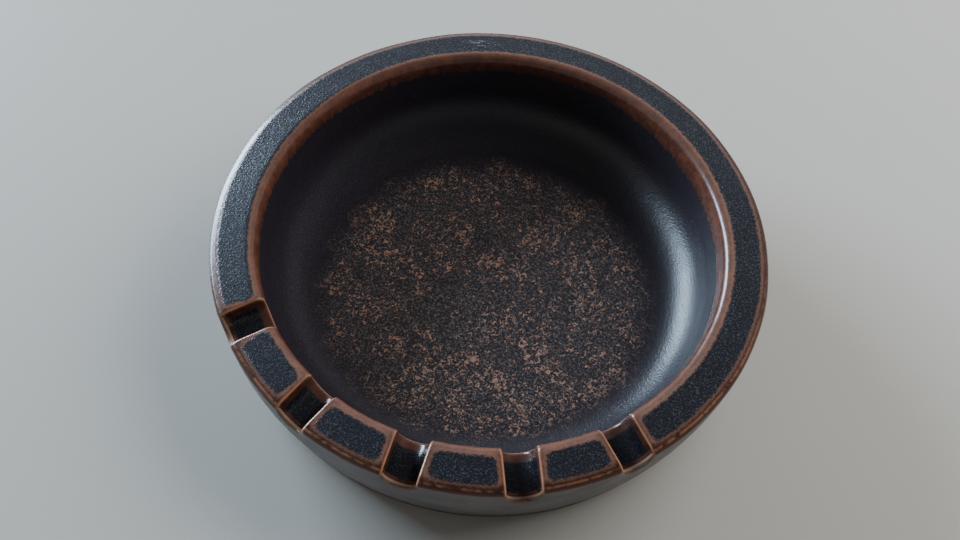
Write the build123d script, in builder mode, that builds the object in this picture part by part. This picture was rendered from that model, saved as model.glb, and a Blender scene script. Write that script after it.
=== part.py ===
from build123d import *
import os
from math import cos, radians, sin, tan

# Round stoneware ashtray with a broad rim and five cigarette rests, in millimetres.
# +Z is up. The origin is on the table, in the middle of the foot ring.
# A fired clay body carries three coats: a dark glaze over the bowl, rim and rests, a thin
# grey coat on the outer wall, and a glaze inside the foot ring. The foot ring is bare clay.

# Overall sizes, over the glaze
rim_radius = 86.4               # at the shoulder, before its edge is rounded
rim_height = 34.46              # of the lip, before its edge is rounded
wall_flare = 7.4                # how much wider the shoulder is than the foot, per side
wall_bulge = 1.3                # how far the outer wall stands out of a straight cone

# Rim
rim_width = 14.2                # from the lip to the shoulder
rim_fall_angle = 8.1            # the rim's top falls outwards
bevel_width = 2.6               # outer bevel, seen from above
bevel_angle = 24.0
lip_round = 3.2
bevel_round = 5.0
shoulder_round = 1.3

# Bowl
bowl_draft_angle = 9.2          # the bowl's wall leans outwards
floor_height = 5.5              # of the bowl's floor above the table
floor_fillet = 16.0

# Foot
foot_ring_width = 8.0
foot_round = 1.4
recess_depth = 1.8              # of the underside inside the foot ring
recess_slope_width = 1.2
recess_round = 0.7

# Cigarette rests, cut by hand, so their spacing and their slopes are uneven
rest_angles = (210.75, 234.5, 258.75, 282.15, 304.75)   # about +Z from +X, in degrees
rest_width = 9.5
rest_depth = 7.9                # below the rim's top at the lip
rest_fall_angles = (5.0, 5.0, 6.5, 9.0, 7.0)    # the floor of each rest falls outwards
edge_round = 1.1                # of the edges that a rest cuts in the rim

# Coats
coat_thickness = 0.45
bare_foot_height = 1.2          # the coats stop this far above the table
shoulder_lap = 0.7              # the bowl glaze runs this far down over the shoulder

# Worked out from the sizes above
foot_radius = rim_radius - wall_flare
lip_radius = rim_radius - rim_width
bevel_radius = rim_radius - bevel_width
bevel_height = rim_height - (bevel_radius - lip_radius) * tan(radians(rim_fall_angle))
shoulder_height = bevel_height - bevel_width * tan(radians(bevel_angle))
floor_radius = lip_radius - (rim_height - floor_height) * tan(radians(bowl_draft_angle))
recess_radius = foot_radius - foot_ring_width
recess_top_radius = recess_radius - recess_slope_width
rest_bottom_height = rim_height - rest_depth
coat_line_height = shoulder_height - shoulder_lap
wall_skin = 1.5 * coat_thickness    # just deeper than the grey coat, so all of it is taken
past_axis = 10 * coat_thickness
beyond = rim_radius             # cutting shapes reach this far outside the body


def inset_corner(before, corner, after, inset):
    """Corner of the section moved into the clay from both of its sides.

    The clay lies on the right of the way from one point to the next. The corner moves along
    the sum of its sides' two normals, divided by one plus their dot product.
    """
    way_in = (Vector(corner) - Vector(before)).normalized()
    way_out = (Vector(after) - Vector(corner)).normalized()
    normal_in = Vector(way_in.Y, -way_in.X)
    normal_out = Vector(way_out.Y, -way_out.X)
    return Vector(corner) + (normal_in + normal_out) * (inset / (1 + normal_in.dot(normal_out)))


def half_section(inset):
    """Section from just past the axis to the outer wall, its skin moved in by a coat."""
    wall_middle = ((rim_radius + foot_radius) / 2 + wall_bulge, shoulder_height / 2)
    outline = (
        (-past_axis, floor_height),
        (floor_radius, floor_height),
        (lip_radius, rim_height),
        (bevel_radius, bevel_height),
        (rim_radius, shoulder_height),
        wall_middle,
        (foot_radius, 0),
        (recess_radius, 0),
        (recess_top_radius, recess_depth),
        (-past_axis, recess_depth),
    )
    moved = [inset_corner(*outline[i - 1 : i + 2], inset) for i in range(1, len(outline) - 1)]
    floor, lip, bevel, shoulder, wall, foot, ring, recess = moved
    floor_centre = (-past_axis, floor_height - inset)
    recess_centre = (-past_axis, recess_depth + inset)
    with BuildSketch(Plane.XZ) as section:
        with BuildLine():
            Polyline(floor_centre, floor, lip, bevel, shoulder)
            ThreePointArc(shoulder, wall, foot)
            Polyline(foot, ring, recess, recess_centre, floor_centre)
        make_face()
        round_corner(section, floor, floor_fillet + inset)
        round_corner(section, lip, lip_round - inset)
        round_corner(section, bevel, bevel_round - inset)
        round_corner(section, shoulder, shoulder_round - inset)
        round_corner(section, foot, foot_round - inset)
        round_corner(section, ring, recess_round - inset)
        round_corner(section, recess, recess_round + inset)
    return section.sketch


def round_corner(section, corner, radius):
    """Round the corner of a section that lies nearest a point."""
    fillet(section.vertices().sort_by_distance(corner)[0], radius)


def right_of_axis(keep_height):
    """Keep the part of the section in hand that lies right of the axis, up to a height."""
    with Locations((beyond, keep_height / 2)):
        Rectangle(2 * beyond, keep_height, mode=Mode.INTERSECT)


def rest_plane(angle, fall_angle):
    """Plane across a rest at the lip; its normal runs outwards along the rest's floor."""
    fall = radians(fall_angle)
    turn = radians(angle)
    outwards = (cos(turn) * cos(fall), sin(turn) * cos(fall), -sin(fall))
    origin = (lip_radius * cos(turn), lip_radius * sin(turn), rest_bottom_height + rest_width / 2)
    return Plane(origin=origin, x_dir=(-sin(turn), cos(turn), 0), z_dir=outwards)


def ends_within(edge, plane, half_width):
    """Whether an edge has both its ends within a rest's width."""
    return all(abs(plane.to_local_coords(Vector(end)).X) <= half_width for end in edge.vertices())


def cut_rests(coat):
    """Cut the U-shaped rests, wider and deeper by the coat, and round the edges they leave."""
    radius = rest_width / 2 + coat
    for angle, fall_angle in zip(rest_angles, rest_fall_angles):
        plane = rest_plane(angle, fall_angle)
        with BuildSketch(plane) as slot:
            Circle(radius)
            with Locations((0, rim_height / 2)):
                Rectangle(2 * radius, rim_height)
        extrude(slot.sketch, amount=rim_width * 2, both=True, mode=Mode.SUBTRACT)
        curved_edges = edges(Select.LAST).filter_by(GeomType.LINE, reverse=True)
        cut_edges = curved_edges.filter_by(lambda edge: ends_within(edge, plane, radius + edge_round))
        fillet(cut_edges, edge_round - coat)


# The whole ashtray over its glaze. It is not a piece: the coats are cut from it.
with BuildPart() as glazed_form:
    with BuildSketch(Plane.XZ):
        add(half_section(0))
        right_of_axis(2 * rim_height)
    revolve(axis=Axis.Z)
    cut_rests(0)

# Clay body: the same form less the coats, with a bare foot ring.
with BuildPart() as stoneware_body:
    with BuildSketch(Plane.XZ):
        add(half_section(coat_thickness))
        right_of_axis(2 * rim_height)
    revolve(axis=Axis.Z)
    cut_rests(coat_thickness)
    with BuildSketch(Plane.XZ):
        add(half_section(0))
        right_of_axis(bare_foot_height)
    revolve(axis=Axis.Z)
stoneware_body.part.label = "stoneware_body"

# Grey coat: the skin of the outer wall, from the foot to the line under the shoulder.
with BuildPart() as wall_coat:
    add(glazed_form.part)
    add(stoneware_body.part, mode=Mode.SUBTRACT)
    with BuildSketch(Plane.XZ):
        with BuildLine():
            shoulder_inset = (rim_radius - wall_skin, shoulder_height)
            wall_inset = ((rim_radius + foot_radius) / 2 + wall_bulge - wall_skin, shoulder_height / 2)
            foot_inset = (foot_radius - wall_skin, 0)
            ThreePointArc(shoulder_inset, wall_inset, foot_inset)
            Polyline(foot_inset, (beyond * 2, 0), (beyond * 2, shoulder_height), shoulder_inset)
        make_face()
        right_of_axis(coat_line_height)
    revolve(axis=Axis.Z, mode=Mode.INTERSECT)
wall_coat.part.label = "wall_coat"

# Glaze on the underside, inside the foot ring.
with BuildPart() as underside_glaze:
    with BuildSketch():
        Circle(foot_radius - foot_ring_width / 2)
    extrude(amount=floor_height / 2 + recess_depth / 2)
    add(glazed_form.part, mode=Mode.INTERSECT)
    add(stoneware_body.part, mode=Mode.SUBTRACT)
underside_glaze.part.label = "underside_glaze"

# Dark glaze over the bowl, the rim and the rests.
with BuildPart() as bowl_glaze:
    add(glazed_form.part)
    add(stoneware_body.part, mode=Mode.SUBTRACT)
    add(wall_coat.part, mode=Mode.SUBTRACT)
    add(underside_glaze.part, mode=Mode.SUBTRACT)
bowl_glaze.part.label = "bowl_glaze"

os.makedirs("parts", exist_ok=True)
export_step(stoneware_body.part, "parts/stoneware_body.step")
export_step(bowl_glaze.part, "parts/bowl_glaze.step")
export_step(wall_coat.part, "parts/wall_coat.step")
export_step(underside_glaze.part, "parts/underside_glaze.step")
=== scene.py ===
import math

import bpy
import numpy as np
from bpy.props import FloatProperty, FloatVectorProperty, IntProperty, PointerProperty
from mathutils import Matrix, Vector


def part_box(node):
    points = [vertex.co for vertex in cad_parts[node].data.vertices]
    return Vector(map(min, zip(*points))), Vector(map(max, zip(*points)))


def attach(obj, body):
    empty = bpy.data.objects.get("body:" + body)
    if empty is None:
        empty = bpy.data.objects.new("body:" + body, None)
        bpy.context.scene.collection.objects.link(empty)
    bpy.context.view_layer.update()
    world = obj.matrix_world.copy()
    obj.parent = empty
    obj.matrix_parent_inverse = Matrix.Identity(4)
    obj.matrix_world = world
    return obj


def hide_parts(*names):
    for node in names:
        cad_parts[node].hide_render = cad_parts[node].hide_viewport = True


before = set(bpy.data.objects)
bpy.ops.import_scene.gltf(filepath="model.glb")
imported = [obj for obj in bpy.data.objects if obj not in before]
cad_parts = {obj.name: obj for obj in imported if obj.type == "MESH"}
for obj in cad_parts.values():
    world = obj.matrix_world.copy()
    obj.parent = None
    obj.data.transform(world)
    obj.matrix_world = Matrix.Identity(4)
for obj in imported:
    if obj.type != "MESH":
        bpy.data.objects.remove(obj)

bl_info = {
    "name": "Stoneware Ashtray",
    "version": (1, 0, 0),
    "blender": (4, 5, 0),
    "location": "View3D > Sidebar > Ashtray",
    "description": "Glazes a round stoneware ashtray with five cigarette rests and lights it",
    "category": "Object",
}

MM = 0.001

BODY = "stoneware_body"
BOWL_GLAZE = "bowl_glaze"
WALL_COAT = "wall_coat"
UNDERSIDE = "underside_glaze"

GLAZE_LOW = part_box(BOWL_GLAZE)[0]
COAT_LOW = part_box(WALL_COAT)[0]
UNDER_LOW, UNDER_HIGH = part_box(UNDERSIDE)

# Divisions of the surface, and the two heights where its crowded rows give way to even ones
FLOOR_STEPS = 34
RIM_STEPS = 13
BOWL_SPLIT = 20 * MM
WALL_SPLIT = 13 * MM

# Columns crowd within this band outside a rest's edge, and even out this far past the last rest
EDGE_BAND = 1.6 * MM
LAST_TAB = math.radians(12.5)

# Middle of the scuffs on the rim, and how far the flecks lie forward of the bowl's middle
SCUFF_X = -12 * MM
SCUFF_Y = 78.5 * MM
FLECKS_FORWARD = 4 * MM

# The stage, in metres and degrees
TABLE_REACH = 3.0
WALLS = (0.74, 0.76, 0.79, 1.0)
CEILING = (0.160, 0.158, 0.165, 1.0)
WINDOW_SIDE = (-0.75, 0.66, 0.0)
LENS = 48.38
SENSOR_WIDTH = 36.0
CAMERA_PLACE = (0.00781, -0.2293, 0.3585)
CAMERA_TURNS = ((2.60, "Z"), (33.55, "X"), (4.37, "Z"))

# Where the five rests are cut, about +Z from +X, and how steeply the floor of each falls
# outwards. They are cut by hand, so unevenly.
REST_ANGLES = np.radians((210.75, 234.5, 258.75, 282.15, 304.75))
REST_FALLS = np.radians((5.0, 5.0, 6.5, 9.0, 7.0))


class AshtrayShape(bpy.types.PropertyGroup):
    """Sizes of the glazed surface."""

    coat: FloatProperty(
        name="Coat", description="Thickness of each glaze coat", default=0.45 * MM, unit="LENGTH")
    rim_radius: FloatProperty(
        name="Rim radius", description="Radius of the shoulder before its edge is rounded",
        default=86.4 * MM, unit="LENGTH")
    rim_height: FloatProperty(
        name="Rim height", description="Height of the lip before its edge is rounded",
        default=34.46 * MM, unit="LENGTH")
    rim_width: FloatProperty(
        name="Rim width", description="From the lip to the shoulder", default=14.2 * MM, unit="LENGTH")
    rim_fall: FloatProperty(
        name="Rim fall", description="How steeply the rim's top falls outwards",
        default=math.radians(8.1), subtype="ANGLE")
    bevel_width: FloatProperty(
        name="Bevel width", description="Width of the outer bevel", default=2.6 * MM, unit="LENGTH")
    bevel_fall: FloatProperty(
        name="Bevel fall", description="How steeply the outer bevel falls",
        default=math.radians(24.0), subtype="ANGLE")
    wall_flare: FloatProperty(
        name="Wall flare", description="How much wider the shoulder is than the foot, per side",
        default=7.4 * MM, unit="LENGTH")
    wall_bulge: FloatProperty(
        name="Wall bulge", description="How far the outer wall swells", default=1.3 * MM, unit="LENGTH")
    bowl_draft: FloatProperty(
        name="Bowl draft", description="How far the bowl's wall leans outwards",
        default=math.radians(9.2), subtype="ANGLE")
    floor_fillet: FloatProperty(
        name="Floor fillet", description="Radius between the bowl's floor and wall",
        default=16.0 * MM, unit="LENGTH")
    lip_round: FloatProperty(
        name="Lip round", description="Radius of the lip", default=3.2 * MM, unit="LENGTH")
    bevel_round: FloatProperty(
        name="Bevel round", description="Radius between the rim's top and its bevel",
        default=5.0 * MM, unit="LENGTH")
    shoulder_round: FloatProperty(
        name="Shoulder round", description="Radius of the shoulder", default=1.3 * MM, unit="LENGTH")
    rest_width: FloatProperty(
        name="Rest width", description="Width of a cigarette rest", default=9.5 * MM, unit="LENGTH")
    rest_depth: FloatProperty(
        name="Rest depth", description="Depth of a rest below the lip", default=7.9 * MM, unit="LENGTH")
    rest_round: FloatProperty(
        name="Rest edge", description="Radius of the edges of the rests", default=1.1 * MM, unit="LENGTH")
    waviness: FloatProperty(
        name="Waviness", description="How far the hand-finished surface wanders inwards",
        default=0.22 * MM, unit="LENGTH")
    plain_columns: IntProperty(
        name="Plain columns", description="Divisions of the rim where it has no rests", default=196)


def shade(name, description, colour):
    """A colour that the user can change."""
    return FloatVectorProperty(
        name=name, description=description, default=colour, size=3, subtype="COLOR", min=0.0, max=1.0)


class AshtrayFinish(bpy.types.PropertyGroup):
    """Colours of the clay, the coats and the stage, in linear light."""

    charcoal: shade("Charcoal", "Satin glaze on the rim's top", (0.0120, 0.0122, 0.0155))
    mottle: shade("Mottle", "Grey-blue flecks in the rim's glaze", (0.085, 0.090, 0.112))
    rust: shade("Rust", "Glaze where it thins over an edge", (0.088, 0.031, 0.020))
    rust_warm: shade("Warm rust", "Redder rust between the darker", (0.140, 0.048, 0.027))
    rust_light: shade("Light rust", "Thinnest glaze on the crest of an edge", (0.370, 0.168, 0.092))
    rust_dark: shade("Dark rust", "Thicker glaze just off an edge", (0.036, 0.013, 0.009))
    border: shade("Border", "Pale line between the charcoal and the rust", (0.200, 0.118, 0.088))
    bowl: shade("Bowl", "Glaze on the bowl's wall", (0.0150, 0.0120, 0.0165))
    floor: shade("Floor", "Glaze on the bowl's floor", (0.018, 0.0155, 0.0175))
    ash: shade("Ash", "Fine grey grains on the bowl's floor", (0.105, 0.084, 0.080))
    fleck: shade("Fleck", "Tan flecks on the bowl's floor", (0.300, 0.160, 0.105))
    pool: shade("Pool", "Thick glaze in the floor of a rest", (0.0085, 0.0085, 0.0105))
    tan: shade("Tan", "Thin glaze edge along the shoulder", (0.170, 0.118, 0.085))
    brink: shade("Brink", "Thin glaze over the outer brink of a rest", (0.400, 0.240, 0.160))
    scuff: shade("Scuff", "Pale scuffs on the rim", (0.330, 0.330, 0.340))
    # Partly painted reflection: the coat's grey is lightened to stand for the pale floor reflected in the
    # dark glaze
    wall: shade("Wall", "Thin coat on the outer wall", (0.165, 0.150, 0.146))
    wall_dark: shade("Dark wall", "Streaks in the wall's coat", (0.118, 0.108, 0.106))
    underside: shade("Underside", "Glaze inside the foot ring", (0.030, 0.020, 0.016))
    clay: shade("Clay", "Bare fired clay of the foot ring", (0.190, 0.120, 0.080))
    grit: shade("Grit", "Dark grains in the clay", (0.050, 0.034, 0.026))
    table: shade("Table", "Plain pale floor under the ashtray", (0.500, 0.470, 0.415))


# ---------------------------------------------------------------- the glazed section


def corner_arc(before, corner, after, radius, steps):
    """Arc that rounds a corner of an outline.

    With t the distance from the corner at which the arc touches either side, radius times the
    tangent of half the turn, its points are found by turning about the arc's centre.
    """
    way_in = (corner - before) / np.linalg.norm(corner - before)
    way_out = (after - corner) / np.linalg.norm(after - corner)
    turn = math.atan2(way_in[0] * way_out[1] - way_in[1] * way_out[0], way_in @ way_out)
    reach = radius * math.tan(abs(turn) / 2)
    start = corner - way_in * reach
    side = np.array((-way_in[1], way_in[0])) * math.copysign(radius, turn)
    angle = np.linspace(0.0, turn, steps)[:, None]
    spoke = -side * np.cos(angle) - np.array((-side[1], side[0])) * np.sin(angle)
    return start + side + spoke


def between(start, end, steps, ease=1.0):
    """Points along a straight line, without its ends. An ease over 1 crowds them at its end."""
    part = 1.0 - (1.0 - np.linspace(0.0, 1.0, steps + 2)[1:-1, None]) ** ease
    return start + (end - start) * part


class Section:
    """The glazed section in radius and height, from the bowl's centre out to the foot."""

    def __init__(self, shape):
        self.shape = shape
        self.floor_height = GLAZE_LOW.z + shape.coat
        self.foot_height = COAT_LOW.z
        rise = math.tan(shape.bowl_draft)
        self.lip_radius = shape.rim_radius - shape.rim_width
        bevel_radius = shape.rim_radius - shape.bevel_width
        bevel_height = shape.rim_height - (bevel_radius - self.lip_radius) * math.tan(shape.rim_fall)
        self.shoulder_height = bevel_height - shape.bevel_width * math.tan(shape.bevel_fall)
        floor_radius = self.lip_radius - (shape.rim_height - self.floor_height) * rise
        self.centre = np.array((0.0, self.floor_height))
        self.heel = np.array((floor_radius, self.floor_height))
        self.lip = np.array((self.lip_radius, shape.rim_height))
        self.bevel = np.array((bevel_radius, bevel_height))
        self.shoulder = np.array((shape.rim_radius, self.shoulder_height))
        self.foot = np.array((shape.rim_radius - shape.wall_flare, 0.0))
        self.wall_slope = shape.wall_flare / self.shoulder_height
        self.bowl_slope = rise

    def swell(self, points):
        """Outer wall moved out by four bulges times its share of the height times what is left."""
        share = np.clip(points[..., 1] / self.shoulder_height, 0.0, 1.0)
        outer = points[..., 0] > (self.lip_radius + self.shape.rim_radius) / 2
        moved = points.copy()
        moved[..., 0] += np.where(outer, 4 * self.shape.wall_bulge * share * (1 - share), 0.0)
        return moved

    def bowl_radius(self, height):
        """Radius of the bowl's wall at a height."""
        return self.lip_radius - (self.shape.rim_height - height) * self.bowl_slope

    def wall_radius(self, height):
        """Radius of the outer wall at a height."""
        plain = self.foot[0] + height * self.wall_slope
        share = np.clip(height / self.shoulder_height, 0.0, 1.0)
        return plain + 4 * self.shape.wall_bulge * share * (1 - share)

    def rim(self, steps):
        """Rim from where the lip leaves the bowl's wall to where the shoulder meets the outer wall."""
        shape = self.shape
        lip = corner_arc(self.heel, self.lip, self.bevel, shape.lip_round, steps)
        bevel = corner_arc(self.lip, self.bevel, self.shoulder, shape.bevel_round, steps // 2)
        shoulder = corner_arc(self.bevel, self.shoulder, self.foot, shape.shoulder_round, steps)
        top = between(lip[-1], bevel[0], steps)
        slope = between(bevel[-1], shoulder[0], steps // 3)
        return self.swell(np.vstack((lip, top, bevel, slope, shoulder)))

    def floor(self, steps):
        """Bowl from its centre over the floor and up the fillet to the straight wall."""
        fillet = corner_arc(self.centre, self.heel, self.lip, self.shape.floor_fillet, steps)
        flat = between(self.centre, fillet[0], steps // 2, 0.9)
        return np.vstack((self.centre, flat, fillet))

    def outline(self):
        """Dense outline of the rim and both walls, to measure distances from."""
        rim = self.rim(40)
        low = np.array((self.bowl_radius(self.floor_height), self.floor_height))
        height = np.linspace(rim[-1, 1], 0.0, 60)[1:]
        wall = np.column_stack((self.wall_radius(height), height))
        return np.vstack((low, rim, wall))


def outline_distance(points, outline):
    """Signed distance from an outline, positive outside, and its gradient.

    Each point is dropped onto every segment, its share along the segment kept between nought
    and one, and the nearest foot is taken. The sign is the side of that segment it lies on.
    """
    start = outline[:-1]
    way = outline[1:] - start
    length = np.einsum("ij,ij->i", way, way)
    distance = np.empty(len(points))
    gradient = np.empty((len(points), 2))
    for first in range(0, len(points), 20000):
        chunk = points[first : first + 20000]
        to = chunk[:, None, :] - start
        share = np.clip(np.einsum("pij,ij->pi", to, way) / length, 0.0, 1.0)
        gap = to - share[..., None] * way
        nearest = np.argmin(np.einsum("pij,pij->pi", gap, gap), axis=1)
        row = np.arange(len(chunk))
        gap = gap[row, nearest]
        segment = way[nearest]
        normal = np.column_stack((-segment[:, 1], segment[:, 0]))
        normal /= np.linalg.norm(normal, axis=1)[:, None]
        side = np.einsum("pj,pj->p", to[row, nearest], normal)
        size = np.linalg.norm(gap, axis=1)
        sure = size > 1e-9
        unit = np.where(sure[:, None], gap / np.maximum(size, 1e-12)[:, None], normal)
        distance[first : first + 20000] = np.where(side >= 0, size, -size)
        gradient[first : first + 20000] = np.where((side < 0)[:, None] & sure[:, None], -unit, unit)
    return distance, gradient


# ---------------------------------------------------------------- the rests


def rest_height(section, radius, fall):
    """Height of the floor line of a rest at a distance from the axis."""
    shape = section.shape
    return shape.rim_height - shape.rest_depth - (radius - section.lip_radius) * np.tan(fall)


def rest_distance(section, points):
    """Signed distance from the nearest U-shaped rest, negative inside it, and its gradient.

    Above the middle of its round bottom a rest is a slot, so the distance is the sideways
    offset less the half width. Below, it is the distance from the bottom's middle line less it.
    """
    half = section.shape.rest_width / 2
    best = np.full(len(points), np.inf)
    gradient = np.zeros_like(points)
    for angle, fall in zip(REST_ANGLES, REST_FALLS):
        along = np.array((math.cos(angle), math.sin(angle), 0.0))
        side = np.array((-along[1], along[0], 0.0))
        up = along * math.sin(fall) + np.array((0.0, 0.0, math.cos(fall)))
        offset = points @ side
        axis_height = rest_height(section, points @ along, fall) + half
        rise = (points[:, 2] - axis_height) * math.cos(fall)
        below = np.minimum(rise, 0.0)
        reach = np.hypot(offset, below)
        distance = np.where(points @ along > 0, reach - half, np.inf)
        near = distance < best
        safe = np.maximum(reach, 1e-12)[:, None]
        way = (offset[:, None] * side + below[:, None] * up) / safe
        best = np.where(near, distance, best)
        gradient[near] = way[near]
    return best, gradient


def glaze_distance(section, outline, points):
    """Signed distance from the rounded glazed surface, and its gradient.

    The solid is the turned section less the rests. Where both lie within the edge radius, the
    two distances plus that radius join as the legs of a right triangle, which rounds the edge.
    """
    edge = section.shape.rest_round
    radius = np.hypot(points[:, 0], points[:, 1])
    turned, slope = outline_distance(np.column_stack((radius, points[:, 2])), outline)
    spoke = points[:, :2] / radius[:, None]
    turned_way = np.column_stack((spoke * slope[:, :1], slope[:, 1]))
    cut, cut_way = rest_distance(section, points)
    cut, cut_way = -cut, -cut_way
    leg_a = np.maximum(turned + edge, 0.0)
    leg_b = np.maximum(cut + edge, 0.0)
    both = (leg_a > 0) & (leg_b > 0)
    hypotenuse = np.maximum(np.hypot(leg_a, leg_b), 1e-12)
    rounded_way = (leg_a[:, None] * turned_way + leg_b[:, None] * cut_way) / hypotenuse[:, None]
    plain_way = np.where((turned > cut)[:, None], turned_way, cut_way)
    distance = np.where(both, hypotenuse - edge, np.maximum(turned, cut))
    return distance, np.where(both[:, None], rounded_way, plain_way)


def settle(section, outline, grid, rounds=6):
    """Grid moved onto the rounded surface, each round along the gradient by the distance left."""
    points = grid.reshape(-1, 3).copy()
    for _ in range(rounds):
        distance, way = glaze_distance(section, outline, points)
        size = np.einsum("ij,ij->i", way, way)
        points -= way * (distance / np.maximum(size, 1e-6))[:, None]
    return points.reshape(grid.shape)


# ---------------------------------------------------------------- columns round the ashtray


class Columns:
    """Columns round the ashtray: crowded at the rests and even along the plain rim.

    angle is a column's direction low on the bowl and wall. On the rim, a column in a rest keeps
    its sideways offset from the rest's middle, and sinks by share of the depth down to the top
    of the round bottom, and by bottom further. One outside keeps its part of the way from the
    rest's edge to the middle of the tab.
    """

    def __init__(self, section):
        half = section.shape.rest_width / 2
        middle_radius = (section.lip_radius + section.shape.rim_radius) / 2
        gaps = np.diff(REST_ANGLES) / 2
        left = np.concatenate(((LAST_TAB,), gaps))
        right = np.concatenate((gaps, (LAST_TAB,)))
        drop = section.shape.rest_depth - half
        rows = []
        for middle, fall, reach_left, reach_right in zip(REST_ANGLES, REST_FALLS, left, right):
            for side, reach in ((-1.0, reach_left), (1.0, reach_right)):
                tab = reach * middle_radius - half
                turn = np.linspace(0.0, math.pi / 2, 11)[:-1]
                down = np.linspace(1.0, 0.0, 11)[:-1]
                near_edge = np.linspace(0.0, EDGE_BAND, 7)[:-1]
                across = EDGE_BAND + (tab - EDGE_BAND) * np.linspace(0.0, 1.0, 9)[:-1] ** 1.3
                offset = np.concatenate((half * np.sin(turn), np.full(len(down), half)))
                bottom = np.concatenate((half * (1 - np.cos(turn)), np.full(len(down), half)))
                share = np.concatenate((np.ones(len(turn)), down))
                length = np.concatenate((half * turn, half * math.pi / 2 + (1 - down) * drop))
                outside = np.concatenate((near_edge, across))
                length = np.concatenate((length, half * math.pi / 2 + drop + outside))
                whole = half * math.pi / 2 + drop + tab
                count = len(outside)
                block = np.zeros((len(length), 8))
                block[:, 7] = fall
                block[:, 0] = middle
                block[:, 1] = side * reach * length / whole
                block[:, 2] = side * np.concatenate((offset, np.full(count, half)))
                block[:, 3] = np.concatenate((share, np.zeros(count)))
                block[:, 4] = np.concatenate((bottom, np.full(count, half)))
                block[:, 5] = np.concatenate((np.zeros(len(offset)), outside / tab))
                block[:, 6] = side * reach
                rows.append(block if side > 0 else block[:0:-1])
        ends = REST_ANGLES[-1] + LAST_TAB, REST_ANGLES[0] - LAST_TAB + 2 * math.pi
        plain = np.linspace(*ends, section.shape.plain_columns + 1)
        block = np.zeros((len(plain), 8))
        block[:, 0] = plain
        block[:, 5] = 1.0
        rows.append(block)
        middle, lean, self.offset, self.share, self.bottom, self.part, reach, self.fall = np.vstack(rows).T
        self.middle = middle
        self.angle = middle + lean
        self.edge_angle = reach
        self.half = half
        self.in_rest = self.part == 0.0

    def rim_angle(self, radius):
        """Direction of each column on the rim at a distance from the axis."""
        edge = np.arcsin(np.clip(self.offset / radius, -1.0, 1.0))
        return self.middle + edge * (1 - self.part) + self.edge_angle * self.part


def polar(radius, angle, height):
    """Points from a radius, an angle and a height."""
    return np.stack(np.broadcast_arrays(radius * np.cos(angle), radius * np.sin(angle), height), axis=-1)


def rim_grid(section, columns, rim):
    """Rim rows over all columns, lowered into the rests.

    A point of the rim sinks by its column's share of its own depth above the round bottom, and
    by the round bottom's arc, and moves inwards by the walls' slope times what it sinks.
    """
    half = columns.half
    path = np.linspace(0.0, 1.0, len(rim))[:, None]
    slope = section.bowl_slope + (section.wall_slope - section.bowl_slope) * path
    above = rim[:, 1:] - rest_height(section, rim[:, :1], columns.fall)
    depth = above / (1 + slope * np.tan(columns.fall))
    sunk = np.where(columns.share >= 1.0, depth - columns.bottom, columns.share * (depth - half))
    sunk = np.where(columns.in_rest, sunk, 0.0)
    radius = rim[:, :1] - slope * sunk
    angle = columns.rim_angle(radius)
    return polar(radius, angle, rim[:, 1:] - sunk), angle, sunk


# ---------------------------------------------------------------- meshes


def surface_normals(grid):
    """Unit normals of a grid from the cross product of its two tangents."""
    across = np.roll(grid, -1, axis=1) - np.roll(grid, 1, axis=1)
    normal = np.cross(np.gradient(grid, axis=0), across)
    size = np.linalg.norm(normal, axis=2, keepdims=True)
    return normal / np.maximum(size, 1e-15)


def grid_faces(rows, columns, wraps_rows):
    """Quads of a grid whose columns wrap round, and whose rows wrap too if asked."""
    first = np.arange(rows if wraps_rows else rows - 1)[:, None]
    second = (first + 1) % rows
    here = np.arange(columns)[None, :]
    there = (here + 1) % columns
    quads = np.stack(
        np.broadcast_arrays(
            first * columns + here, second * columns + here,
            second * columns + there, first * columns + there), axis=-1)
    return quads.reshape(-1, 4)


def closed_mesh(name, grid, fields, poles):
    """Mesh of a closed skin from a grid: a tube of rows, or a shell that ends in two poles."""
    rows, columns = grid.shape[:2]
    points = grid.reshape(-1, 3)
    faces = grid_faces(rows, columns, not poles).tolist()
    keep = np.ones(len(points), bool)
    if poles:
        keep[1:columns] = False
        keep[len(points) - columns : len(points) - 1] = False
        index = np.cumsum(keep) - 1
        index[1:columns] = 0
        index[len(points) - columns :] = index[-1]
        faces = [tuple(dict.fromkeys(index[list(face)].tolist())) for face in faces]
    mesh = bpy.data.meshes.new(name)
    mesh.from_pydata(points[keep].tolist(), [], faces)
    for label, values in fields.items():
        layer = mesh.attributes.new(label, "FLOAT", "POINT")
        layer.data.foreach_set("value", values.reshape(-1)[keep].astype(np.float32))
    mesh.polygons.foreach_set("use_smooth", np.ones(len(mesh.polygons), bool))
    mesh.update()
    if mesh.validate():
        raise RuntimeError(f"the mesh of {name} has faults")
    piece = bpy.data.objects.new(name, mesh)
    bpy.context.scene.collection.objects.link(piece)
    return piece


def finish_piece(piece, material, slot_name, *nodes):
    """Give a piece its material, let it ride on the one body and hide the nodes it stands for."""
    piece.data.materials.append(material)
    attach(piece, "root")
    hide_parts(*nodes)
    return piece


def waves(points, amplitude):
    """Slow inward wander: a sum of three sines of place, scaled between nought and -amplitude."""
    total = np.zeros(points.shape[:-1])
    for length, lean, start in ((61 * MM, (0.8, 0.5, 1.1), 0.4), (37 * MM, (-0.6, 0.9, 0.7), 2.1),
                                (23 * MM, (0.5, 0.8, -1.3), 4.0)):
        total += np.sin(points @ (np.array(lean) * 2 * math.pi / length) + start)
    return -amplitude * (3.0 - total) / 6.0


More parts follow.
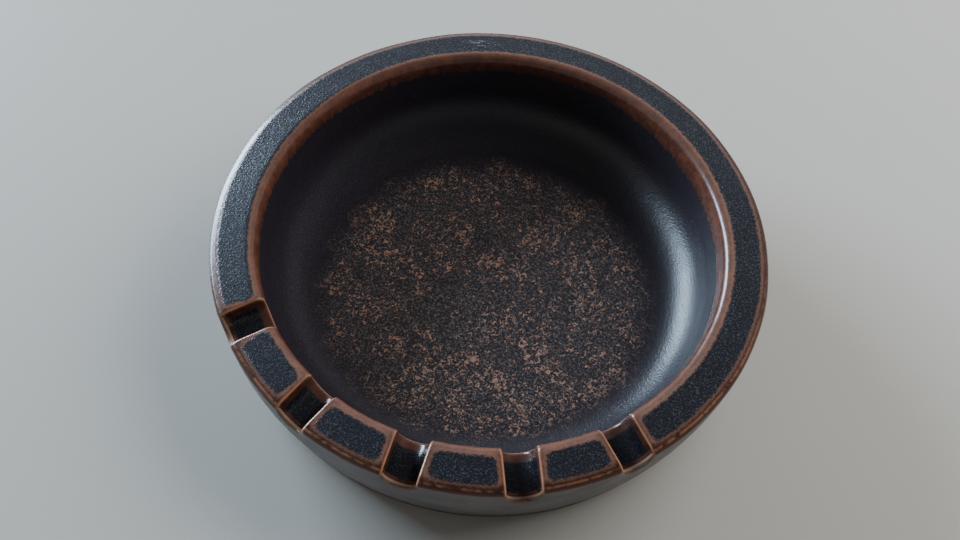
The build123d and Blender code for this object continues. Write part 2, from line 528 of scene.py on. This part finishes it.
class Skin:
    """The whole glazed surface as one grid, with the fields that its finish follows.

    Fields are distances in millimetres: lip along the section outwards from the lip's crest,
    tab inwards from the nearest of a tab's edges, rest down into a rest from its edge and
    negative outside it, and line down the wall from the shoulder's lower edge.
    """

    def __init__(self, shape):
        section = Section(shape)
        columns = Columns(section)
        outline = section.outline()
        self.section = section
        self.columns = columns
        floor = section.floor(FLOOR_STEPS)
        rim = section.rim(RIM_STEPS)
        low_wall = between(floor[-1], np.array((section.bowl_radius(BOWL_SPLIT), BOWL_SPLIT)), 1)
        lower = np.vstack((floor, low_wall))
        bowl = polar(lower[:, :1], columns.angle, lower[:, 1:])
        top, top_angle, sunk = rim_grid(section, columns, rim)

        part = 1.0 - (1.0 - np.linspace(0.0, 1.0, 13)[:-1, None]) ** 1.5
        height = BOWL_SPLIT + part * (top[0, :, 2] - BOWL_SPLIT)
        angle = columns.angle + part * (top_angle[0] - columns.angle)
        inside = polar(section.bowl_radius(height), angle, height)

        lap = np.array((0.35, 0.7, 0.9, 1.15)) * MM
        run = np.linspace(0.0, 1.0, 15)[1:, None] ** 1.25
        edge_height = top[-1, :, 2]
        lap_height = edge_height - lap[:, None]
        low_height = lap_height[-1] + run * (WALL_SPLIT - lap_height[-1])
        height = np.vstack((lap_height, low_height))
        part = (edge_height - height) / (edge_height - WALL_SPLIT)
        angle = top_angle[-1] + part * (columns.angle - top_angle[-1])
        outside = polar(section.wall_radius(height), angle, height)

        foot_height = np.linspace(WALL_SPLIT, section.foot_height, 9)[1:, None]
        foot = polar(section.wall_radius(foot_height), columns.angle, foot_height)

        rim_zone = settle(section, outline, np.concatenate((inside, top, outside)))
        grid = np.concatenate((bowl, rim_zone, foot))
        normal = surface_normals(grid)
        normal[0] = (0.0, 0.0, 1.0)
        self.normal = normal
        self.grid = grid + normal * waves(grid, shape.waviness)[..., None]
        self.first_top = len(bowl) + len(inside)
        self.last_top = self.first_top + len(top)
        self.split = self.last_top + 1
        self.fields = self.measure(rim, sunk)

    def measure(self, rim, sunk):
        """Fields over the grid, from the section's arc length and the columns' places."""
        grid, columns, section = self.grid, self.columns, self.section
        step = np.linalg.norm(np.diff(grid, axis=0), axis=2)
        along = np.vstack((np.zeros((1, grid.shape[1])), np.cumsum(step, axis=0)))
        crest = self.first_top + int(np.argmax(rim[:, 1]))
        lip = (along - along[crest]) / MM
        line = (along - along[self.last_top - 1]) / MM
        points = grid.reshape(-1, 3)
        clear, _ = rest_distance(section, points)
        clear = np.minimum(clear.reshape(grid.shape[:2]) / MM, 60.0)
        shoulder = -line
        rest = -clear
        top = slice(self.first_top, self.last_top)
        rest[top] = np.where(columns.in_rest, sunk / MM, rest[top])
        smooth = 0.9
        legs = np.stack((lip - 0.1, shoulder - 3.4, clear - 1.8))
        tab = -smooth * np.log(np.sum(np.exp(-legs / smooth), axis=0))
        return {"lip": lip, "line": line, "tab": tab, "rest": rest}

    def shell(self, first, last, sink, back_step):
        """Closed skin over rows first to last: the surface, then a back one coat inside it."""
        coat = self.section.shape.coat
        front = self.grid[first:last] + self.normal[first:last] * sink
        back_rows = np.unique(np.append(np.arange(first, last, back_step), last - 1))[::-1]
        back = self.grid[back_rows] - self.normal[back_rows] * coat
        rows = np.concatenate((np.arange(first, last), back_rows))
        fields = {label: values[rows] for label, values in self.fields.items()}
        return np.concatenate((front, back)), fields


# ---------------------------------------------------------------- materials


class Finish:
    """Short ways to write a node material."""

    def __init__(self, name):
        self.material = bpy.data.materials.new(name)
        self.material.use_nodes = True
        self.tree = self.material.node_tree
        self.tree.nodes.clear()
        self.shader = self.tree.nodes.new("ShaderNodeBsdfPrincipled")
        output = self.tree.nodes.new("ShaderNodeOutputMaterial")
        self.tree.links.new(self.shader.outputs["BSDF"], output.inputs["Surface"])
        self.place = self.tree.nodes.new("ShaderNodeTexCoord").outputs["Object"]

    def put(self, socket, value):
        """Link a socket, or set its value."""
        if isinstance(value, bpy.types.NodeSocket):
            self.tree.links.new(value, socket)
        elif socket.type == "RGBA":
            socket.default_value = (*value, 1.0)
        else:
            socket.default_value = value

    def math(self, operation, first, second=0.0, third=0.0, clamp=False):
        """A sum on numbers."""
        node = self.tree.nodes.new("ShaderNodeMath")
        node.operation = operation
        node.use_clamp = clamp
        for socket, value in zip(node.inputs, (first, second, third)):
            self.put(socket, value)
        return node.outputs[0]

    def times(self, first, second):
        """Product of two numbers."""
        return self.math("MULTIPLY", first, second)

    def shifted(self, value, pattern, reach):
        """Value moved by a pattern times a reach."""
        return self.math("MULTIPLY_ADD", pattern, reach, value)

    def centred(self, pattern):
        """Pattern moved to lie about nought."""
        return self.math("SUBTRACT", pattern, 0.5)

    def length(self, across, along):
        """Square root of the sum of two squares."""
        return self.math("SQRT", self.math("MULTIPLY_ADD", across, across, self.times(along, along)))

    def field(self, name):
        """A field stored on the mesh."""
        node = self.tree.nodes.new("ShaderNodeAttribute")
        node.attribute_name = name
        return node.outputs["Fac"]

    def stretched(self, scale, shift=(0.0, 0.0, 0.0)):
        """Object coordinates scaled along each axis."""
        node = self.tree.nodes.new("ShaderNodeMapping")
        self.put(node.inputs["Vector"], self.place)
        node.inputs["Scale"].default_value = scale
        node.inputs["Location"].default_value = shift
        return node.outputs["Vector"]

    def noise(self, size, detail=2.0, roughness=0.5, distortion=0.0, place=None, shift=0.0):
        """Cloudy pattern whose features are about size across."""
        node = self.tree.nodes.new("ShaderNodeTexNoise")
        self.put(node.inputs["Vector"], place or self.stretched((1, 1, 1), (shift, -shift, 0)))
        node.inputs["Scale"].default_value = 1.0 / size
        node.inputs["Detail"].default_value = detail
        node.inputs["Roughness"].default_value = roughness
        node.inputs["Distortion"].default_value = distortion
        return node.outputs["Fac"]

    def cells(self, size):
        """Distance from the nearest of scattered points, in cells of about size."""
        node = self.tree.nodes.new("ShaderNodeTexVoronoi")
        self.put(node.inputs["Vector"], self.place)
        node.inputs["Scale"].default_value = 1.0 / size
        return node.outputs["Distance"]

    def step(self, value, low, high):
        """Smooth step from nought at low to one at high."""
        node = self.tree.nodes.new("ShaderNodeMapRange")
        node.interpolation_type = "SMOOTHSTEP"
        for label, number in (("Value", value), ("From Min", low), ("From Max", high)):
            self.put(node.inputs[label], number)
        return node.outputs["Result"]

    def band(self, value, middle, outer, inner):
        """One where a value lies within inner of a middle, falling to nought at outer."""
        return self.step(self.math("ABSOLUTE", self.math("SUBTRACT", value, middle)), outer, inner)

    def blend(self, part, first, second):
        """Colour between two colours."""
        node = self.tree.nodes.new("ShaderNodeMix")
        node.data_type = "RGBA"
        self.put(node.inputs["Factor"], part)
        self.put(node.inputs[6], first)
        self.put(node.inputs[7], second)
        return node.outputs[2]

    def between(self, part, first, second):
        """Number between two numbers."""
        node = self.tree.nodes.new("ShaderNodeMix")
        node.data_type = "FLOAT"
        self.put(node.inputs[0], part)
        self.put(node.inputs[2], first)
        self.put(node.inputs[3], second)
        return node.outputs[0]

    def bump(self, height, depth, normal=None):
        """Normal disturbed by a height between nought and one, of a depth in metres."""
        node = self.tree.nodes.new("ShaderNodeBump")
        node.inputs["Distance"].default_value = depth
        node.inputs["Strength"].default_value = 1.0
        self.put(node.inputs["Height"], height)
        if normal is not None:
            self.put(node.inputs["Normal"], normal)
        return node.outputs["Normal"]

    def surface(self, colour, roughness, normal=None):
        """Link the shader's colour, roughness and normal."""
        self.put(self.shader.inputs["Base Color"], colour)
        self.put(self.shader.inputs["Roughness"], roughness)
        if normal is not None:
            self.put(self.shader.inputs["Normal"], normal)
        return self.material


class BowlGlaze(Finish):
    """Dark reactive glaze: charcoal on the rim, rust on every edge, black in the bowl.

    The fields lip, line, tab and rest are in millimetres, and so are the limits set against
    them. Limits set against a place on the ashtray are in metres.
    """

    def __init__(self, colours):
        super().__init__("bowl_glaze")
        self.colours = colours
        self.lip, self.line, self.tab, self.rest = map(self.field, ("lip", "line", "tab", "rest"))
        place = self.tree.nodes.new("ShaderNodeSeparateXYZ")
        self.put(place.inputs[0], self.place)
        self.x, self.y = place.outputs["X"], place.outputs["Y"]
        self.cloud = self.noise(7 * MM)
        self.fine = self.noise(0.5 * MM, roughness=0.65)
        self.ragged = self.centred(self.noise(0.9 * MM, 3.0, 0.65))
        self.mottle = self.times(self.step(self.fine, 0.50, 0.70), self.between(self.cloud, 0.25, 1.0))

    def rust(self):
        """Rust, darker on the outer bevel and lighter along the crests of the edges, with painted glints
        along the front of the bevel.
        """
        colours = self.colours
        warm = self.step(self.noise(3.2 * MM, shift=0.3), 0.35, 0.65)
        rust = self.blend(warm, colours.rust, colours.rust_warm)
        rust = self.blend(self.times(self.step(self.fine, 0.42, 0.70), 0.5), rust, colours.rust_dark)
        bevel = self.times(self.step(self.line, -4.6, -3.4), self.step(self.lip, 4.0, 6.0))
        rust = self.blend(self.times(bevel, 0.72), rust, colours.rust_dark)
        # Partly painted highlight: an orange line where the glaze thins on the front of the bevel, broken
        # into painted glints and left off the back
        painted_glint = self.step(self.noise(3.2 * MM, shift=0.8), 0.36, 0.58)
        front = self.step(self.y, 20 * MM, -50 * MM)
        bevel_crest_glints = self.times(self.times(self.band(self.line, -1.9, 0.6, 0.1), painted_glint), front)
        rest_crest = self.band(self.rest, -0.15, 0.95, 0.25)
        crest = self.math("MAXIMUM", self.times(rest_crest, 0.95), self.times(bevel_crest_glints, 0.5))
        rust = self.blend(crest, rust, colours.rust_light)
        inner = self.times(self.step(self.lip, -3.3, -1.9), self.step(self.lip, 2.0, 0.6))
        return self.blend(self.times(inner, 0.24), rust, colours.border)

    def rim(self, rust):
        """Charcoal patches on the rim and the tabs, each with a pale ragged line round it, carried nearer
        the lip on the -X side as painted shade.
        """
        colours = self.colours
        # Painted shade: on the -X side, where the lip turns away from the window, the charcoal comes
        # nearer the lip
        lip_shade = self.times(self.step(self.x, -30 * MM, -74 * MM), self.step(self.lip, 6.0, 2.0))
        edge = self.shifted(self.shifted(self.tab, lip_shade, 0.9), self.ragged, 2.1)
        self.patch = self.step(edge, -0.10, 0.75)
        halo = self.math("SUBTRACT", self.step(edge, -1.1, -0.1), self.patch, clamp=True)
        around = self.blend(self.times(halo, 0.5), rust, colours.border)
        return self.blend(self.patch, around, self.blend(self.mottle, colours.charcoal, colours.mottle))

    def ground(self):
        """Black wall and a floor strewn with tan flecks and grey grains, thickest in clusters."""
        colours = self.colours
        radius = self.length(self.math("ADD", self.y, FLECKS_FORWARD), self.x)
        floor = self.step(self.shifted(radius, self.centred(self.cloud), 12 * MM), 57 * MM, 46 * MM)
        crumbs = self.noise(1.25 * MM, 2.0, 0.6, 1.1)
        cluster = self.step(self.noise(11 * MM, 2.0, 0.6, shift=0.7), 0.36, 0.64)
        level = self.between(cluster, 0.645, 0.555)
        self.fleck = self.times(self.step(self.math("SUBTRACT", crumbs, level), -0.01, 0.045), floor)
        grains = self.step(self.noise(0.62 * MM, 2.0, 0.6, 0.5, shift=0.2), 0.47, 0.66)
        ground = self.blend(floor, colours.bowl, colours.floor)
        ground = self.blend(self.times(grains, self.between(floor, 0.10, 0.85)), ground, colours.ash)
        return self.blend(self.times(self.fleck, 0.85), ground, colours.fleck)

    def bowl(self, ground, rust):
        """Rust teeth that hang from the lip over the ground, further down on the +X side."""
        upright = self.noise(1.5 * MM, 2.0, 0.6, place=self.stretched((1, 1, 0.22)))
        hang_to = self.between(self.step(self.x, 25 * MM, 74 * MM), -7.0, -9.8)
        teeth = self.shifted(self.math("SUBTRACT", self.lip, hang_to), self.centred(upright), 4.4)
        self.hang = self.step(teeth, -0.25, 0.30)
        hem = self.times(self.step(teeth, 3.6, 0.2), 0.55)
        return self.blend(self.hang, ground, self.blend(hem, rust, self.colours.rust_dark))

    def rests(self, colour):
        """Dark rust on the walls of the rests, a charcoal pool on the floor of each."""
        colours = self.colours
        wall = self.times(self.step(self.rest, 0.7, 2.2), self.step(self.lip, -4.0, -1.5))
        colour = self.blend(self.times(wall, 0.6), colour, colours.rust_dark)
        inner_end = self.step(self.shifted(self.lip, self.ragged, 1.2), -0.2, 0.9)
        ends = self.times(inner_end, self.step(self.line, -1.6, -3.0))
        depth = self.shifted(self.rest, self.ragged, 1.6)
        self.pool = self.times(self.step(depth, 3.1, 4.3), ends)
        speckled = self.blend(self.times(self.mottle, 0.55), colours.pool, colours.mottle)
        return self.blend(self.pool, colour, speckled)

    def shoulder(self, colour):
        """Tan line where the glaze ends, paler over the outer brink of each rest."""
        self.tan = self.step(self.shifted(self.line, self.ragged, 0.45), -0.50, -0.05)
        colour = self.blend(self.times(self.tan, 0.85), colour, self.colours.tan)
        brink = self.times(self.band(self.line, -0.8, 0.6, 0.2), self.step(self.rest, 0.2, 1.0))
        return self.blend(self.times(brink, 0.8), colour, self.colours.brink)

    def scuffs(self, colour):
        """Short pale scratches in a patch on the far side of the rim, four times as long as deep."""
        along = self.math("SUBTRACT", self.x, SCUFF_X)
        across = self.times(self.math("SUBTRACT", self.y, SCUFF_Y), 4.0)
        scratch = self.noise(0.7 * MM, 3.0, 0.6, place=self.stretched((0.22, 1, 1)))
        scuff = self.times(self.step(self.length(along, across), 8 * MM, 4 * MM),
                           self.step(scratch, 0.56, 0.66))
        return self.blend(self.times(scuff, 0.6), colour, self.colours.scuff)

    def gloss(self, over_lip):
        """Satin charcoal and bowl, dull flecks and tan, glossy rust and pools."""
        rust, charcoal, bowl = (self.between(self.fine, low, high)
                                for low, high in ((0.20, 0.27), (0.25, 0.34), (0.25, 0.42)))
        rim = self.between(self.patch, rust, charcoal)
        ground = self.between(self.fleck, bowl, 0.50)
        rough = self.between(over_lip, self.between(self.hang, ground, 0.27), rim)
        rough = self.between(self.pool, rough, 0.24)
        return self.between(self.tan, rough, 0.46)

    def relief(self, over_lip):
        """Soft orange peel all over, and a grain that is strongest on the charcoal and the bowl."""
        bare = self.math("SUBTRACT", 1.0, self.hang)
        dull = self.times(self.math("MAXIMUM", self.times(over_lip, self.patch), bare), 0.85)
        share = self.math("ADD", self.math("MAXIMUM", dull, self.times(self.pool, 0.6)), 0.15)
        grain = self.times(self.noise(0.60 * MM, 2.0, 0.6, shift=0.5), share)
        peel = self.noise(3.0 * MM, 1.0, 0.5, shift=0.9)
        return self.bump(grain, 0.125 * MM, self.bump(peel, 0.045 * MM))


def bowl_glaze_finish(colours):
    """Material of the bowl glaze, built up from the bowl outwards."""
    glaze = BowlGlaze(colours)
    over_lip = glaze.step(glaze.lip, -2.6, -1.6)
    rust = glaze.rust()
    rim = glaze.rim(rust)
    colour = glaze.blend(over_lip, glaze.bowl(glaze.ground(), rust), rim)
    colour = glaze.scuffs(glaze.shoulder(glaze.rests(colour)))
    return glaze.surface(colour, glaze.gloss(over_lip), glaze.relief(over_lip))


def wall_coat_finish(colours):
    """Thin satin grey coat with faint streaks round the wall, its grey lightened as painted reflection of
    the pale floor.
    """
    f = Finish("wall_coat")
    streak = f.noise(1.8 * MM, 3.0, 0.6, place=f.stretched((0.16, 0.16, 1.6)))
    cloud = f.noise(9 * MM)
    pale = f.step(f.shifted(streak, f.centred(cloud), 0.7), 0.36, 0.66)
    colour = f.blend(pale, colours.wall_dark, colours.wall)
    ragged = f.centred(f.noise(1.2 * MM))
    tan = f.step(f.shifted(f.field("line"), ragged, 0.5), 1.25, 0.75)
    colour = f.blend(f.times(tan, 0.7), colour, colours.tan)
    fine = f.noise(0.5 * MM, 2.0, 0.6)
    rough = f.between(fine, 0.42, 0.58)
    normal = f.bump(streak, 0.06 * MM, f.bump(fine, 0.012 * MM))
    return f.surface(colour, rough, normal)


def underside_finish(colours):
    """Plain dark brown glaze inside the foot ring."""
    f = Finish("underside_glaze")
    cloud = f.noise(6 * MM, 3.0, 0.6)
    fine = f.noise(0.6 * MM, 2.0, 0.6)
    colour = f.blend(f.step(cloud, 0.35, 0.70), colours.underside, colours.rust_dark)
    colour = f.blend(f.times(f.step(fine, 0.60, 0.75), 0.3), colour, colours.mottle)
    return f.surface(colour, f.between(cloud, 0.25, 0.42), f.bump(fine, 0.02 * MM))


def clay_finish(colours):
    """Bare fired clay with dark grit and fine turning marks."""
    f = Finish("stoneware")
    cloud = f.noise(4 * MM, 4.0, 0.65)
    grit = f.step(f.cells(0.9 * MM), 0.30, 0.14)
    colour = f.blend(f.times(grit, 0.7), colours.clay, colours.grit)
    colour = f.blend(f.times(f.step(cloud, 0.4, 0.7), 0.35), colour, colours.wall)
    rough = f.between(cloud, 0.78, 0.92)
    return f.surface(colour, rough, f.bump(f.noise(0.4 * MM, 3.0, 0.7), 0.05 * MM))


def table_finish(colours):
    """Plain pale floor."""
    f = Finish("table")
    cloud = f.noise(60 * MM)
    tint = tuple(value * 0.97 for value in colours.table)
    return f.surface(f.blend(cloud, colours.table, tint), f.between(cloud, 0.34, 0.40))


# ---------------------------------------------------------------- the stage


def lay_table(scene):
    """Plain square floor under the ashtray."""
    mesh = bpy.data.meshes.new("table")
    reach = TABLE_REACH
    corners = [(-reach, -reach, 0), (reach, -reach, 0), (reach, reach, 0), (-reach, reach, 0)]
    mesh.from_pydata(corners, [], [(0, 1, 2, 3)])
    table = bpy.data.objects.new("table", mesh)
    mesh.materials.append(table_finish(scene.ashtray_finish))
    scene.collection.objects.link(table)


def window(scene, name, direction, distance, size, power, colour):
    """Soft rectangular light that faces the ashtray."""
    light = bpy.data.lights.new(name, "AREA")
    light.shape = "RECTANGLE"
    light.size, light.size_y = size
    light.energy = power
    light.color = colour
    lamp = bpy.data.objects.new(name, light)
    way = Vector(direction).normalized()
    lamp.location = way * distance
    lamp.rotation_euler = way.to_track_quat("Z", "Y").to_euler()
    scene.collection.objects.link(lamp)
    return lamp


def surround(scene):
    """Pale walls that darken towards the ceiling, brighter on the window's side.

    The colour is a smooth step on the height of the direction looked in, and the strength is a
    straight ramp on how far that direction leans towards the window.
    """
    world = bpy.data.worlds.new("room")
    world.use_nodes = True
    tree = world.node_tree
    background = tree.nodes["Background"]
    direction = tree.nodes.new("ShaderNodeTexCoord").outputs["Generated"]
    split = tree.nodes.new("ShaderNodeSeparateXYZ")
    fade = tree.nodes.new("ShaderNodeMapRange")
    fade.interpolation_type = "SMOOTHSTEP"
    mix = tree.nodes.new("ShaderNodeMix")
    mix.data_type = "RGBA"
    mix.inputs[6].default_value = WALLS
    mix.inputs[7].default_value = CEILING
    lean = tree.nodes.new("ShaderNodeVectorMath")
    lean.operation = "DOT_PRODUCT"
    lean.inputs[1].default_value = WINDOW_SIDE
    strength = tree.nodes.new("ShaderNodeMapRange")
    for node, limits in ((fade, (0.10, 0.80, 0.0, 1.0)), (strength, (-0.8, 0.8, 0.45, 0.95))):
        for label, number in zip(("From Min", "From Max", "To Min", "To Max"), limits):
            node.inputs[label].default_value = number
    for start, end in (
        (direction, split.inputs[0]),
        (split.outputs["Z"], fade.inputs["Value"]),
        (fade.outputs["Result"], mix.inputs["Factor"]),
        (mix.outputs[2], background.inputs["Color"]),
        (direction, lean.inputs[0]),
        (lean.outputs["Value"], strength.inputs["Value"]),
        (strength.outputs["Result"], background.inputs["Strength"]),
    ):
        tree.links.new(start, end)
    scene.world = world


def set_camera(scene):
    """Camera above the front of the ashtray, looking down into the bowl."""
    eye = bpy.data.cameras.new("eye")
    eye.lens = LENS
    eye.sensor_width = SENSOR_WIDTH
    eye.clip_start = 0.01
    camera = bpy.data.objects.new("eye", eye)
    place = Matrix.Translation(CAMERA_PLACE)
    for degrees, axis in CAMERA_TURNS:
        place = place @ Matrix.Rotation(math.radians(degrees), 4, axis)
    camera.matrix_world = place
    scene.collection.objects.link(camera)
    scene.camera = camera


# ---------------------------------------------------------------- operators


SHARED = {}


def shared_skin(shape):
    """The glazed surface, worked out once for the pieces that share it."""
    if "skin" not in SHARED:
        SHARED["skin"] = Skin(shape)
    return SHARED["skin"]


class ASHTRAY_OT_bowl_glaze(bpy.types.Operator):
    """Lay the dark glaze over the bowl, the rim and the rests"""

    bl_idname = "ashtray.bowl_glaze"
    bl_label = "Bowl Glaze"

    def execute(self, context):
        skin = shared_skin(context.scene.ashtray_shape)
        grid, fields = skin.shell(0, skin.split + 1, 0.0, 4)
        piece = closed_mesh("bowl_glaze_skin", grid, fields, poles=True)
        finish_piece(piece, bowl_glaze_finish(context.scene.ashtray_finish), BOWL_GLAZE, BOWL_GLAZE)
        return {"FINISHED"}


class ASHTRAY_OT_wall_coat(bpy.types.Operator):
    """Lay the grey coat on the outer wall"""

    bl_idname = "ashtray.wall_coat"
    bl_label = "Wall Coat"

    def execute(self, context):
        skin = shared_skin(context.scene.ashtray_shape)
        grid, fields = skin.shell(skin.split - 1, len(skin.grid), -0.1 * MM, 3)
        piece = closed_mesh("wall_coat_skin", grid, fields, poles=False)
        finish_piece(piece, wall_coat_finish(context.scene.ashtray_finish), WALL_COAT, WALL_COAT)
        return {"FINISHED"}


class ASHTRAY_OT_underside_glaze(bpy.types.Operator):
    """Lay the glaze inside the foot ring"""

    bl_idname = "ashtray.underside_glaze"
    bl_label = "Underside Glaze"

    def execute(self, context):
        shape = context.scene.ashtray_shape
        low = UNDER_LOW.z
        high = UNDER_HIGH.z
        recess = high - shape.coat
        edge = UNDER_HIGH.x
        round_edge = 1.2 * MM
        top = np.array(((0.0, high), (edge - round_edge, high), (edge, low)))
        face = np.array(((edge - 0.6 * MM, low), (edge - 2 * round_edge, recess), (0.0, recess)))
        flat = between(top[0], top[1], 5)
        under = between(face[1], face[2], 24)
        outline = np.vstack((top[0], flat, top[1], between(top[1], top[2], 3), top[2],
                             face[0], between(face[0], face[1], 4), face[1], under, face[2]))
        angle = np.linspace(0.0, 2 * math.pi, 241)[:-1]
        grid = polar(outline[:, :1], angle, outline[:, 1:])
        piece = closed_mesh("underside_glaze_skin", grid, {}, poles=True)
        finish_piece(piece, underside_finish(context.scene.ashtray_finish), UNDERSIDE, UNDERSIDE)
        return {"FINISHED"}


class ASHTRAY_OT_clay_body(bpy.types.Operator):
    """Give the clay body its bare fired finish"""

    bl_idname = "ashtray.clay_body"
    bl_label = "Clay Body"

    def execute(self, context):
        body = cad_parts[BODY]
        material = clay_finish(context.scene.ashtray_finish)
        body.data.materials.clear()
        body.data.materials.append(material)
        return {"FINISHED"}


class ASHTRAY_OT_stage(bpy.types.Operator):
    """Set the plain floor, the soft light and the camera"""

    bl_idname = "ashtray.stage"
    bl_label = "Stage"

    def execute(self, context):
        scene = context.scene
        lay_table(scene)
        window(scene, "window", (-0.76, 0.53, 0.31), 1.5, (0.95, 0.32), 58.0, (0.60, 0.79, 1.0))
        bounce = window(scene, "bounce", (0.72, 0.52, 0.62), 1.0, (1.0, 0.8), 14.0, (0.94, 0.97, 1.0))
        bounce.visible_glossy = False
        surround(scene)
        set_camera(scene)
        return {"FINISHED"}


class ASHTRAY_PT_sidebar(bpy.types.Panel):
    """Sizes, colours and pieces of the ashtray"""

    bl_idname = "ASHTRAY_PT_sidebar"
    bl_label = "Stoneware Ashtray"
    bl_space_type = "VIEW_3D"
    bl_region_type = "UI"
    bl_category = "Ashtray"

    def draw(self, context):
        layout = self.layout
        for group in (context.scene.ashtray_shape, context.scene.ashtray_finish):
            box = layout.box()
            for name in group.__annotations__:
                box.prop(group, name)
        for operator in OPERATORS:
            layout.operator(operator.bl_idname)


OPERATORS = (
    ASHTRAY_OT_stage,
    ASHTRAY_OT_clay_body,
    ASHTRAY_OT_bowl_glaze,
    ASHTRAY_OT_wall_coat,
    ASHTRAY_OT_underside_glaze,
)
CLASSES = (AshtrayShape, AshtrayFinish, *OPERATORS, ASHTRAY_PT_sidebar)


def register():
    for each in CLASSES:
        bpy.utils.register_class(each)
    bpy.types.Scene.ashtray_shape = PointerProperty(type=AshtrayShape)
    bpy.types.Scene.ashtray_finish = PointerProperty(type=AshtrayFinish)


def unregister():
    del bpy.types.Scene.ashtray_finish
    del bpy.types.Scene.ashtray_shape
    for each in reversed(CLASSES):
        bpy.utils.unregister_class(each)


def main():
    """Build the whole model."""
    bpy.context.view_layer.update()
    register()
    bpy.ops.ashtray.stage()
    bpy.ops.ashtray.clay_body()
    bpy.ops.ashtray.bowl_glaze()
    bpy.ops.ashtray.wall_coat()
    bpy.ops.ashtray.underside_glaze()


if __name__ == "__main__":
    main()
